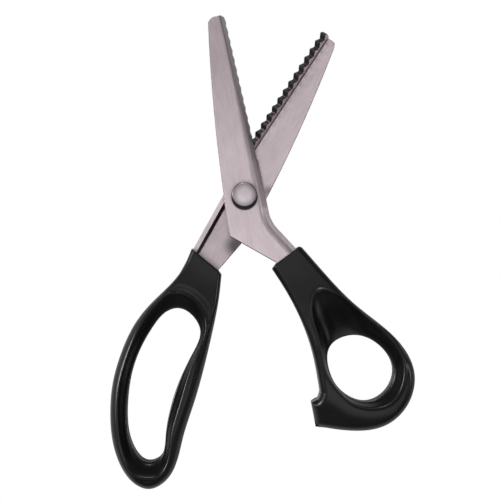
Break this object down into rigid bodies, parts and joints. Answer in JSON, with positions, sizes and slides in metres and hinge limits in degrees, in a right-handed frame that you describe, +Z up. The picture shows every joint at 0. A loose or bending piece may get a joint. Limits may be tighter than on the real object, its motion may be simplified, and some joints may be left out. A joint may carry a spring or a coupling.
{
  "type": "pinking shears",
  "caption": "Hand-held pinking shears with a long finger bow, a round thumb bow and toothed blades that cut a zigzag edge.",
  "frame": {"origin": "on the pivot axis, at the surface that the shears lie on", "axes": "+Z up along the pivot axis, +Y towards the blade tips, +X to the side of the thumb handle"},
  "size_m": [0.15, 0.2333, 0.019],
  "materials": {
    "plate_steel": "brushed along the blade",
    "tooth_steel": "dark ground tool steel",
    "bolt_steel": "smooth, lightly scratched",
    "washer_bronze": "plain",
    "handle_plastic": "moulded, semi-gloss"
  },
  "bodies": {
    "lower": {"rear_blade": "plate_steel", "rear_tooth_strip": "tooth_steel", "finger_handle": "handle_plastic"},
    "upper": {"front_blade": "plate_steel", "front_tooth_strip": "tooth_steel", "thumb_handle": "handle_plastic", "pivot_bolt": "bolt_steel", "pivot_bushing": "bolt_steel", "friction_washer": "washer_bronze", "spring_washer": "bolt_steel", "pivot_nut": "bolt_steel"}
  },
  "joints": [
    {"name": "pivot", "type": "hinge", "parent": "lower", "child": "upper", "pos_m": [0, 0, 0], "axis": [0, 0, 1], "range_deg": [-31.2, 14]}
  ]
}
